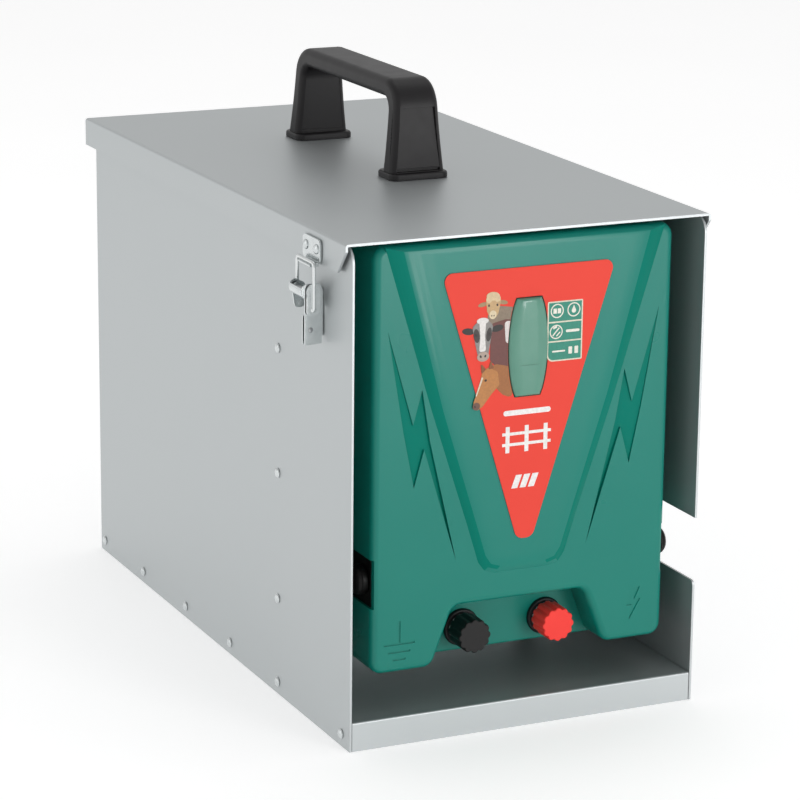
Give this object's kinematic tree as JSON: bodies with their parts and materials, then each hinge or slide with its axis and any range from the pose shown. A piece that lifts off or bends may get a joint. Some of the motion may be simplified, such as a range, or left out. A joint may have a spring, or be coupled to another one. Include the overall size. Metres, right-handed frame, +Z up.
{
  "type": "battery electric fence energizer in a carry box",
  "caption": "Sheet-metal carry box with hinged lid, toggle latches and bridge handle; a green plastic fence energizer with screw terminals stands in its open front.",
  "frame": {"origin": "on the floor, under the middle of the overall bounding box", "axes": "+Z up, the open front with the energizer faces -Y, +X to the right seen from the front"},
  "size_m": [0.2606, 0.4424, 0.366],
  "materials": {
    "galvanised_sheet": "satin",
    "zinc": "gloss",
    "steel": "satin",
    "black_plastic": "matte",
    "grommet_rubber": "matte",
    "green_plastic": "satin",
    "label_film": "satin",
    "red_plastic": "satin",
    "window_plastic": "gloss",
    "clear_plastic": "gloss",
    "circuit_laminate": "satin",
    "laminated_iron": "matte",
    "copper_winding": "satin",
    "capacitor_sleeve": "gloss",
    "brass": "satin"
  },
  "bodies": {
    "box": {"body_wrap": "galvanised_sheet", "base_tray": "galvanised_sheet", "divider": "galvanised_sheet", "hinge_leaf_body": "zinc", "latch_base_left": "zinc", "latch_base_right": "zinc", "divider_rivet_lower_left": "zinc", "divider_rivet_middle_left": "zinc", "divider_rivet_upper_left": "zinc", "divider_rivet_lower_right": "zinc", "divider_rivet_middle_right": "zinc", "divider_rivet_upper_right": "zinc", "base_rivet_front_left": "zinc", "base_rivet_rear_left": "zinc", "base_rivet_front_right": "zinc", "base_rivet_rear_right": "zinc", "case_screw_lower_left": "zinc", "case_screw_lower_right": "zinc", "case_screw_upper_left": "zinc", "case_screw_upper_right": "zinc", "mounting_screw_left": "zinc", "mounting_screw_right": "zinc", "hinge_pin": "steel", "latch_pin_left": "steel", "latch_pin_right": "steel", "side_seat_left": "black_plastic", "side_seat_right": "black_plastic", "terminal_collar_earth": "black_plastic", "terminal_collar_fence": "black_plastic", "battery_lead_grommet": "grommet_rubber", "energizer_front_case": "green_plastic", "energizer_rear_case": "green_plastic", "front_label": "label_film", "indicator_window": "window_plastic", "light_guide": "clear_plastic", "circuit_board": "circuit_laminate", "transformer_core": "laminated_iron", "transformer_winding": "copper_winding", "pulse_capacitor": "capacitor_sleeve", "terminal_stud_earth": "brass", "terminal_stud_fence": "brass", "terminal_nut_earth": "brass", "terminal_nut_fence": "brass"},
    "lid": {"lid": "galvanised_sheet", "hinge_leaf_lid": "zinc", "handle": "black_plastic", "handle_screw_front": "zinc", "handle_screw_rear": "zinc", "latch_keeper_left": "zinc", "latch_keeper_right": "zinc"},
    "lever_left": {"latch_lever_left": "zinc"},
    "lever_right": {"latch_lever_right": "zinc"},
    "bail_left": {"latch_bail_left": "zinc"},
    "bail_right": {"latch_bail_right": "zinc"},
    "washer_earth": {"terminal_washer_earth": "zinc"},
    "washer_fence": {"terminal_washer_fence": "zinc"},
    "knob_earth": {"terminal_knob_earth": "black_plastic"},
    "knob_fence": {"terminal_knob_fence": "red_plastic"},
    "turn_left": {"side_knob_left": "black_plastic"},
    "turn_right": {"side_knob_right": "black_plastic"}
  },
  "joints": [
    {"name": "lid_hinge", "type": "hinge", "parent": "box", "child": "lid", "pos_m": [0, 0.21675, 0.2833], "axis": [-1, 0, 0], "range_deg": [0, 110]},
    {"name": "latch_lever_left_swing", "type": "hinge", "parent": "box", "child": "lever_left", "pos_m": [-0.1259, -0.17375, 0.2705], "axis": [0, 1, 0], "range_deg": [0, 150]},
    {"name": "latch_bail_left_swing", "type": "hinge", "parent": "lever_left", "child": "bail_left", "pos_m": [-0.1235, -0.17375, 0.2604], "axis": [0, 1, 0], "range_deg": [-150, 0]},
    {"name": "latch_lever_right_swing", "type": "hinge", "parent": "box", "child": "lever_right", "pos_m": [0.1259, -0.17375, 0.2705], "axis": [0, -1, 0], "range_deg": [0, 150]},
    {"name": "latch_bail_right_swing", "type": "hinge", "parent": "lever_right", "child": "bail_right", "pos_m": [0.1235, -0.17375, 0.2604], "axis": [0, -1, 0], "range_deg": [-150, 0]},
    {"name": "terminal_earth_travel", "type": "slide", "parent": "box", "child": "washer_earth", "axis": [0, -1, 0], "range_m": [0, 0.0038]},
    {"name": "terminal_earth_turn", "type": "hinge", "parent": "washer_earth", "child": "knob_earth", "pos_m": [-0.028, -0.20125, 0.0565], "axis": [0, -1, 0], "range_deg": [0, 1080]},
    {"name": "terminal_fence_travel", "type": "slide", "parent": "box", "child": "washer_fence", "axis": [0, -1, 0], "range_m": [0, 0.0038]},
    {"name": "terminal_fence_turn", "type": "hinge", "parent": "washer_fence", "child": "knob_fence", "pos_m": [0.028, -0.20125, 0.0565], "axis": [0, -1, 0], "range_deg": [0, 1080]},
    {"name": "side_knob_left_turn", "type": "hinge", "parent": "box", "child": "turn_left", "pos_m": [-0.0965, -0.19725, 0.098], "axis": [-1, 0, 0], "range_deg": [0, 90]},
    {"name": "side_knob_right_turn", "type": "hinge", "parent": "box", "child": "turn_right", "pos_m": [0.0965, -0.19725, 0.098], "axis": [1, 0, 0], "range_deg": [0, 90]}
  ],
  "couplings": [
    {"joint": "latch_bail_left_swing", "follows": "latch_lever_left_swing", "ratio": -1},
    {"joint": "latch_bail_right_swing", "follows": "latch_lever_right_swing", "ratio": -1},
    {"joint": "terminal_earth_travel", "follows": "terminal_earth_turn", "m_per_rad": 0.00019894},
    {"joint": "terminal_fence_travel", "follows": "terminal_fence_turn", "m_per_rad": 0.00019894}
  ]
}
